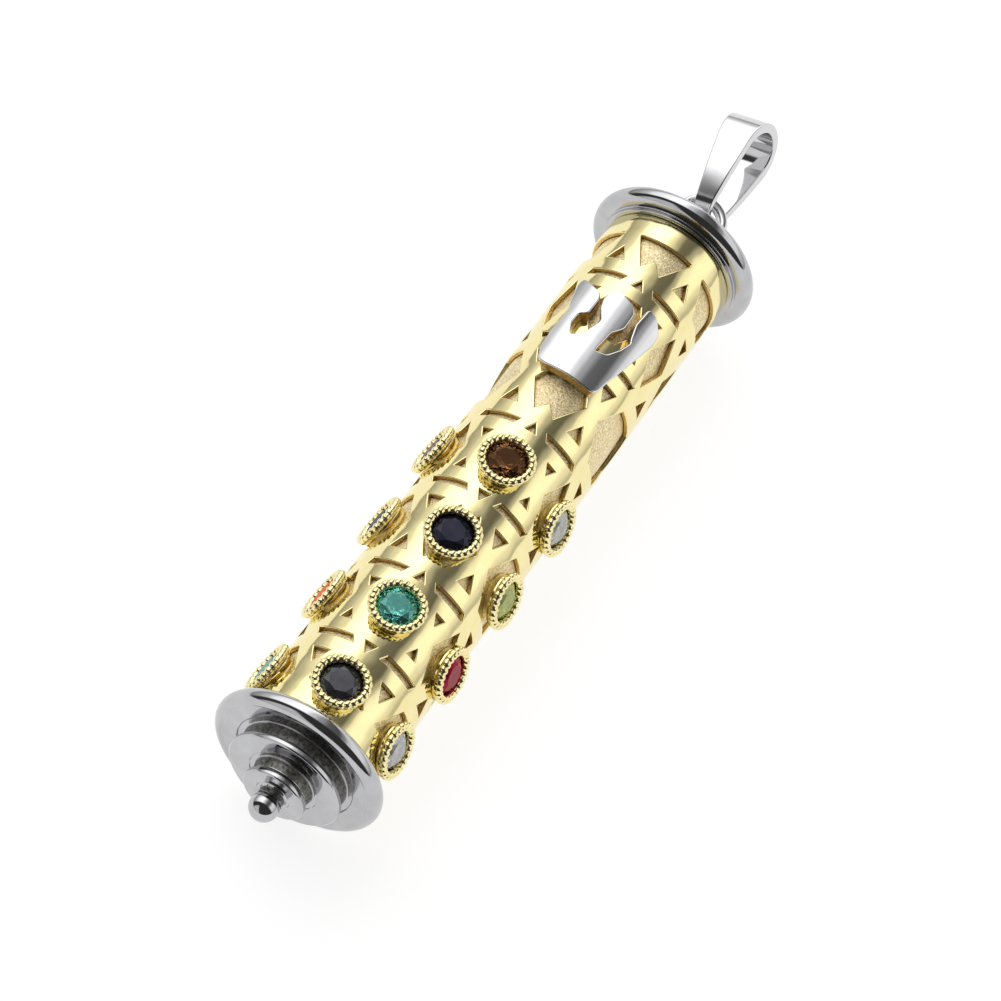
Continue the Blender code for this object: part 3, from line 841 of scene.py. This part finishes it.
def make_bottom_cap(material):
    """The lower flange with its spigot and its stepped finial."""
    seat = TUBE_START - SEAT_GAP
    top = [(0.0, SPIGOT_END), (SPIGOT_RADIUS, SPIGOT_END), (SPIGOT_RADIUS, seat),
           (SEAT_RADIUS, seat), (SEAT_RADIUS, SEAT_RISE), (RIM_CENTRE, RIM_EDGE)]
    upper = rounded(top, 0.06, 4, closed=False)
    steps = [(RIM_CENTRE, -0.54), (4.52, -0.45), (3.62, -0.45), (3.56, -0.36), (3.22, -0.34),
             (3.18, -1.10), (3.34, -1.18), (3.42, -1.28), (3.42, -1.50), (3.34, -1.58),
             (2.14, -1.58), (2.08, -1.48), (1.80, -1.45), (1.68, -2.10), (1.80, -2.22),
             (1.87, -2.30), (1.87, -2.56), (1.80, -2.63), (1.04, -2.63), (0.98, -2.54),
             (0.84, -2.50), (0.75, -2.60), (0.73, -2.93)]
    lower = rounded(steps, 0.05, 3, closed=False)
    ball = arc((0.0, BALL_HEIGHT), BALL_RADIUS, 33.0, -90.0, 20)
    tip = [(0.0, BALL_HEIGHT - BALL_RADIUS)]
    profile = supported(upper + rim() + lower + ball[1:-1] + tip, CAP_MARGIN)
    piece = turned("cap_with_finial", profile, CAP_SEGMENTS, material, on_tube(0.0))
    darken_grooves(piece, profile, LOWER_GROOVES, WHITE_GROOVE)
    settle(piece, "cap", "bottom_cap")


def make_top_cap(material):
    """The upper flange, stepped up to the boss."""
    seat = TUBE_END + SEAT_GAP - FLANGE_SPACING
    plug = PLUG_START - FLANGE_SPACING
    top = [(0.0, BOSS_HEIGHT), (BOSS_RADIUS, BOSS_HEIGHT), (BOSS_RADIUS, 1.45), (2.7, 1.45),
           (2.7, 0.75), (3.9, 0.75), (3.92, 0.47), (4.5, 0.45), (RIM_CENTRE, RIM_EDGE)]
    upper = rounded(top, 0.07, 4, closed=False)
    under = [(RIM_CENTRE, -RIM_EDGE), (SEAT_RADIUS, -SEAT_RISE), (SEAT_RADIUS, seat),
             (SPIGOT_RADIUS, seat), (SPIGOT_RADIUS, plug), (0.0, plug)]
    lower = rounded(under, 0.05, 3, closed=False)
    profile = supported(upper + rim() + lower, CAP_MARGIN)
    piece = turned("cap_with_boss", profile, CAP_SEGMENTS, material, on_tube(FLANGE_SPACING))
    darken_grooves(piece, profile, UPPER_GROOVES, WHITE_GROOVE)
    settle(piece, "case", "top_cap")


def make_eyelet(material):
    """The arched band that the bail hangs in, as a sweep of an oval section."""
    base = BOSS_STATION + EYELET_GAP
    arch = PIVOT_STATION - EYELET_RING
    path = [(base, -EYELET_RING, 0.0)]
    for degrees in range(0, 181, 5):
        turn = math.radians(degrees)
        path.append((arch + EYELET_RING * math.sin(turn), -EYELET_RING * math.cos(turn), turn))
    path.append((base, EYELET_RING, math.pi))
    across = Vector((0.0, math.cos(EYELET_ROLL), math.sin(EYELET_ROLL)))
    deep = Vector((0.0, -math.sin(EYELET_ROLL), math.cos(EYELET_ROLL)))
    along = Vector((1.0, 0.0, 0.0))
    axis = world_point(0.0, 0.0, 0.0)
    points = []
    sides = 20
    for station, side, turn in path:
        centre = axis + (along * station + across * side) * MM
        outward = along * math.sin(turn) - across * math.cos(turn)
        for k in range(sides):
            angle = 2.0 * math.pi * k / sides
            shares = (math.cos(angle), math.sin(angle))
            out, wide = (half * math.copysign(abs(share) ** EYELET_FULLNESS, share)
                         for half, share in zip(EYELET_SECTION, shares))
            points.append(centre + (outward * out + deep * wide) * MM)
    faces = [list(range(sides))]
    for k in range(len(path) - 1):
        for j in range(sides):
            after = (j + 1) % sides
            faces.append([(k + 1) * sides + j, (k + 1) * sides + after,
                          k * sides + after, k * sides + j])
    faces.append(list(reversed(range((len(path) - 1) * sides, len(path) * sides))))
    piece = add_mesh("eyelet_band", points, faces, material, crease=60.0)
    settle(piece, "case", "eyelet")


def teardrop(head_radius, foot_radius, steps):
    """Side view of the bail: (reach, across) round its head and the pivot, with bowed legs."""
    lean = math.degrees(math.asin((head_radius - foot_radius) / BAIL_REACH))
    points = []
    for centre, radius, start, end in ((BAIL_REACH, head_radius, 90.0 + lean, -90.0 - lean),
                                       (0.0, foot_radius, -90.0 - lean, -270.0 + lean)):
        points += arc((centre, 0.0), radius, start, end, steps)
    dense = []
    for start, end in zip(points, points[1:] + points[:1]):
        along = Vector((end[0] - start[0], end[1] - start[1]))
        parts = 20 if along.length > 1.0 else 1
        outward = Vector((-along.y, along.x)).normalized()
        for k in range(parts):
            bow = BAIL_BOW * math.sin(math.pi * k / parts)
            dense.append((start[0] + along.x * k / parts + outward.x * bow,
                          start[1] + along.y * k / parts + outward.y * bow))
    return dense


def make_bail(material):
    """The tapered ribbon loop, with softly rounded edges."""
    outer = teardrop(BAIL_HEAD[0], BAIL_FOOT[0], 40)
    inner = teardrop(BAIL_HEAD[1], BAIL_FOOT[1], 40)
    length = BAIL_REACH + BAIL_HEAD[0] + BAIL_FOOT[0]
    turn = Matrix.Rotation(BAIL_ROLL, 4, "X") @ Matrix.Rotation(-BAIL_LIFT, 4, "Y")
    pivot = world_point(PIVOT_STATION, 0.0, 0.0)
    points = []
    rings = []
    for far, near in zip(outer, inner):
        share = max((far[0] + BAIL_FOOT[0]) / length, 0.0) ** BAIL_SPREAD
        half = (BAIL_WIDTHS[0] + (BAIL_WIDTHS[1] - BAIL_WIDTHS[0]) * share) / 2.0
        thick = math.hypot(far[0] - near[0], far[1] - near[1])
        corners = [(-half, 0.0), (-half, thick), (half, thick), (half, 0.0)]
        section = supported(rounded(corners, BAIL_EDGE, 4), 0.02, closed=True)
        ring = []
        for side, rise in section:
            t = rise / thick
            spot = Vector((near[0] + (far[0] - near[0]) * t, side,
                           near[1] + (far[1] - near[1]) * t))
            ring.append(len(points))
            points.append(pivot + (turn.to_3x3() @ spot) * MM)
        rings.append(ring)
    faces = []
    for ring, after in zip(rings, rings[1:] + rings[:1]):
        for k in range(len(ring)):
            j = (k + 1) % len(ring)
            faces.append([ring[k], after[k], after[j], ring[j]])
    piece = add_mesh("bail_ribbon", points, faces, material)
    settle(piece, "bail", "bail")


def make_scroll(material):
    """The parchment as a rolled sheet."""
    steps = int(SCROLL_TURNS * 48)
    core, girth = SCROLL_RADII
    outer = []
    inner = []
    for k in range(steps + 1):
        share = k / steps
        angle = 2.0 * math.pi * SCROLL_TURNS * share
        radius = core + (girth - core) * share
        outer.append((radius + SHEET_HALF, angle))
        inner.append((radius - SHEET_HALF, angle))
    loop = outer + list(reversed(inner))
    count = len(loop)
    points = [world_point(SCROLL_START, radius, angle) for radius, angle in loop]
    points += [world_point(SCROLL_END, radius, angle) for radius, angle in loop]
    faces = [[k, (k + 1) % count, count + (k + 1) % count, count + k] for k in range(count)]
    for k in range(steps):
        far = count - 1 - k
        faces.append([k, far, far - 1, k + 1])
        faces.append([count + k + 1, count + far - 1, count + far, count + k])
    piece = add_mesh("parchment_roll", points, faces, material, crease=40.0)
    settle(piece, "scroll", "parchment_scroll")


# Stage: floor, lights and camera.

def make_floor():
    """A plain white floor."""
    material, _, shader = node_material("floor_white")
    shader.inputs["Base Color"].default_value = (0.32, 0.32, 0.32, 1.0)
    shader.inputs["Roughness"].default_value = 0.9
    shader.inputs["Specular IOR Level"].default_value = 0.0
    shader.inputs["Emission Color"].default_value = (1.0, 1.0, 1.0, 1.0)
    shader.inputs["Emission Strength"].default_value = 0.83
    size = 1.5
    corners = [(-size, -size, 0.0), (size, -size, 0.0), (size, size, 0.0), (-size, size, 0.0)]
    floor = add_mesh("floor", corners, [[0, 1, 2, 3]], material)


def band(tree, value, low, high, soft):
    """A node value that is 1 between two limits and fades to 0 over a soft edge outside them."""
    sides = []
    for start, end in ((low - soft, low), (high + soft, high)):
        edge = tree.nodes.new("ShaderNodeMapRange")
        edge.interpolation_type = "SMOOTHSTEP"
        edge.inputs["From Min"].default_value = start
        edge.inputs["From Max"].default_value = end
        tree.links.new(value, edge.inputs["Value"])
        sides.append(edge.outputs["Result"])
    return combined(tree, "MULTIPLY", *sides)


def combined(tree, operation, first, second):
    """The output of a math node on two inputs, each a socket or a number."""
    node = tree.nodes.new("ShaderNodeMath")
    node.operation = operation
    for socket, value in zip(node.inputs, (first, second)):
        if isinstance(value, (int, float)):
            socket.default_value = value
        else:
            tree.links.new(value, socket)
    return node.outputs["Value"]


# The studio's softboxes as (tilt in degrees, strength). The tilt is measured from straight up
# towards -Y, about the tube's axis: a large box on the +Y side and overhead, a gap, and a box on
# the -Y side.
STUDIO = ((-100.0, 0.20), (-90.0, 0.30), (-80.0, 0.50), (-68.0, 0.80), (-56.0, 1.60),
          (-32.0, 2.05), (-18.0, 1.85), (-8.0, 1.00), (2.0, 0.46), (14.0, 0.12),
          (28.0, 0.09), (37.0, 0.42), (44.0, 1.00), (52.0, 1.20), (66.0, 1.20),
          (78.0, 0.85), (88.0, 0.50), (100.0, 0.30))
STUDIO_PEAK = 2.1
AMBIENT = 0.05

# Bands as (low, high, soft edge). The studio's is along X. The box at the lower end has one in
# tilt, one along X, and a strength.
STUDIO_REACH = (-0.06, 0.97, 0.18)
END_BOX = ((-80.0, -40.0, 15.0), (-0.98, -0.66, 0.15), 0.8)


def make_lights():
    """An even dim surround with broad, soft-edged softboxes."""
    world = bpy.data.worlds.new("studio")
    world.use_nodes = True
    tree = world.node_tree
    place = tree.nodes.new("ShaderNodeTexCoord")
    parts = tree.nodes.new("ShaderNodeSeparateXYZ")
    tree.links.new(place.outputs["Generated"], parts.inputs["Vector"])
    towards = combined(tree, "MULTIPLY", parts.outputs["Y"], -1.0)
    tilt = combined(tree, "ARCTAN2", towards, parts.outputs["Z"])
    first = math.radians(STUDIO[0][0])
    last = math.radians(STUDIO[-1][0])
    spread = combined(tree, "DIVIDE", combined(tree, "SUBTRACT", tilt, first), last - first)
    profile = tree.nodes.new("ShaderNodeValToRGB")
    profile.color_ramp.interpolation = "EASE"
    stops = profile.color_ramp.elements
    for index, (degrees, strength) in enumerate(STUDIO):
        position = (math.radians(degrees) - first) / (last - first)
        stop = stops[index] if index < 1 else stops.new(position)
        stop.position = position
        level = strength / STUDIO_PEAK
        stop.color = (level, level, level, 1.0)
    stops.remove(stops[-1])
    tree.links.new(spread, profile.inputs["Fac"])
    along = band(tree, parts.outputs["X"], *STUDIO_REACH)
    glow = combined(tree, "MULTIPLY", profile.outputs["Color"], STUDIO_PEAK)
    total = combined(tree, "ADD", combined(tree, "MULTIPLY", glow, along), AMBIENT)
    (low, high, soft), reach, strength = END_BOX
    across = band(tree, tilt, math.radians(low), math.radians(high), math.radians(soft))
    end_glow = combined(tree, "MULTIPLY", across, band(tree, parts.outputs["X"], *reach))
    total = combined(tree, "ADD", total, combined(tree, "MULTIPLY", end_glow, strength))
    background = tree.nodes["Background"]
    background.inputs["Color"].default_value = (1.0, 1.0, 1.0, 1.0)
    tree.links.new(total, background.inputs["Strength"])
    bpy.context.scene.world = world


def make_camera():
    """The view from the finial's end, above and to the side."""
    right = Vector((0.5072, -0.8400, 0.1927)).normalized()
    back = Vector((-0.5261, -0.1246, 0.8411)).normalized()
    up = back.cross(right).normalized()
    right = up.cross(back)
    camera = bpy.data.cameras.new("camera")
    camera.lens = 182.26
    camera.sensor_width = 36.0
    camera.clip_start = 0.01
    camera.clip_end = 10.0
    holder = bpy.data.objects.new("camera", camera)
    base = world_point(0.0, 0.0, 0.0)
    offset = Vector((-126.08, -35.07, 234.18))
    place = Matrix((right, up, back)).transposed().to_4x4()
    place.translation = base + offset * MM
    holder.matrix_world = place
    bpy.context.scene.collection.objects.link(holder)
    bpy.context.scene.camera = holder


GOLD = polished_metal("gold_polished", (0.92, 0.81, 0.44), (0.87, 0.76, 0.38),
                      0.07, 0.13, 0.00018)
GOLD_WALL = grained_metal("gold_walls", (0.90, 0.66, 0.27), (0.62, 0.41, 0.14),
                          0.40, 9000.0, 0.00002)
GOLD_MATT = grained_metal("gold_grained", (1.0, 0.90, 0.60), (0.66, 0.50, 0.24),
                          0.45, 8000.0, 0.00005)
WHITE = polished_metal("white_gold_polished", (0.68, 0.68, 0.69), (0.62, 0.62, 0.63),
                       0.05, 0.11, 0.00002)
# The caps get a darker copy of the white gold: painted shade, standing in for the shadowed floor
# that their faces reflect.
SHADED_WHITE_CAP = polished_metal("white_gold_caps_painted_shade", (0.52, 0.52, 0.53), (0.46, 0.46, 0.47),
                           0.06, 0.12, 0.00002)
WHITE_GROOVE = grained_metal("white_gold_grooves", (0.30, 0.29, 0.27), (0.09, 0.09, 0.08),
                             0.35, 5000.0, 0.00003)

make_floor()
make_lights()
make_camera()
make_sleeve(GOLD, GOLD_WALL)
make_liner(GOLD_MATT)
make_bezels(GOLD)
make_stones()
make_emblem(WHITE, GOLD_WALL)
make_top_cap(SHADED_WHITE_CAP)
make_eyelet(WHITE)
make_bail(WHITE)
make_bottom_cap(SHADED_WHITE_CAP)
make_scroll(parchment_material())

bpy.context.scene.view_settings.view_transform = "Standard"
